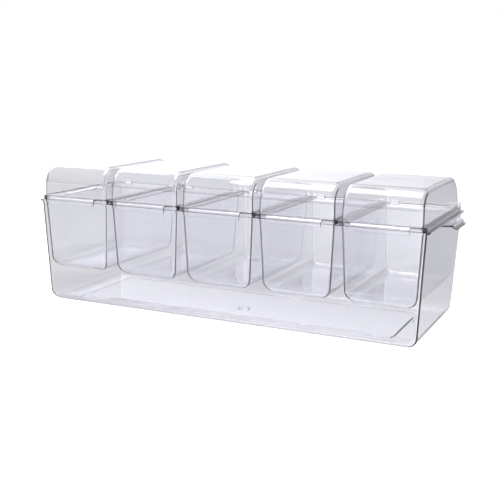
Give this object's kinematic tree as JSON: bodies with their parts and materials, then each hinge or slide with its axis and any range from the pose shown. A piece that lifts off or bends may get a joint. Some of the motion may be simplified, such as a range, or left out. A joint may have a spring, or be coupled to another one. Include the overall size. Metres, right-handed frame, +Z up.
{
  "type": "chilled condiment server",
  "caption": "Clear long ice tray holding a row of deep drop-in inserts, each with its own domed hinged lid and finger lip; keeps cut fruit and condiments cold.",
  "frame": {"origin": "middle of the footprint, on the level that the tray stands on", "axes": "+X along the row of inserts to the right, +Y from the finger lips to the hinges at the back, +Z up"},
  "size_m": [0.4096, 0.1502, 0.135],
  "materials": {
    "tray_plastic": "clear injection-moulded plastic, polished",
    "insert_plastic": "clear injection-moulded plastic, polished",
    "lid_plastic": "clear injection-moulded plastic, polished"
  },
  "bodies": {
    "tray": {"ice_tray": "tray_plastic"},
    "cup_1": {"insert_1": "insert_plastic"},
    "cover_1": {"lid_1": "lid_plastic"},
    "cup_2": {"insert_2": "insert_plastic"},
    "cover_2": {"lid_2": "lid_plastic"},
    "cup_3": {"insert_3": "insert_plastic"},
    "cover_3": {"lid_3": "lid_plastic"},
    "cup_4": {"insert_4": "insert_plastic"},
    "cover_4": {"lid_4": "lid_plastic"},
    "cup_5": {"insert_5": "insert_plastic"},
    "cover_5": {"lid_5": "lid_plastic"}
  },
  "joints": [
    {"name": "insert_1_lift", "type": "slide", "parent": "tray", "child": "cup_1", "axis": [0, 0, 1], "range_m": [0, 0.09]},
    {"name": "lid_1_hinge", "type": "hinge", "parent": "cup_1", "child": "cover_1", "pos_m": [-0.152, 0.0716, 0.105], "axis": [-1, 0, 0], "range_deg": [0, 105]},
    {"name": "insert_2_lift", "type": "slide", "parent": "tray", "child": "cup_2", "axis": [0, 0, 1], "range_m": [0, 0.09]},
    {"name": "lid_2_hinge", "type": "hinge", "parent": "cup_2", "child": "cover_2", "pos_m": [-0.076, 0.0716, 0.105], "axis": [-1, 0, 0], "range_deg": [0, 105]},
    {"name": "insert_3_lift", "type": "slide", "parent": "tray", "child": "cup_3", "axis": [0, 0, 1], "range_m": [0, 0.09]},
    {"name": "lid_3_hinge", "type": "hinge", "parent": "cup_3", "child": "cover_3", "pos_m": [0, 0.0716, 0.105], "axis": [-1, 0, 0], "range_deg": [0, 105]},
    {"name": "insert_4_lift", "type": "slide", "parent": "tray", "child": "cup_4", "axis": [0, 0, 1], "range_m": [0, 0.09]},
    {"name": "lid_4_hinge", "type": "hinge", "parent": "cup_4", "child": "cover_4", "pos_m": [0.076, 0.0716, 0.105], "axis": [-1, 0, 0], "range_deg": [0, 105]},
    {"name": "insert_5_lift", "type": "slide", "parent": "tray", "child": "cup_5", "axis": [0, 0, 1], "range_m": [0, 0.09]},
    {"name": "lid_5_hinge", "type": "hinge", "parent": "cup_5", "child": "cover_5", "pos_m": [0.152, 0.0716, 0.105], "axis": [-1, 0, 0], "range_deg": [0, 105]}
  ]
}
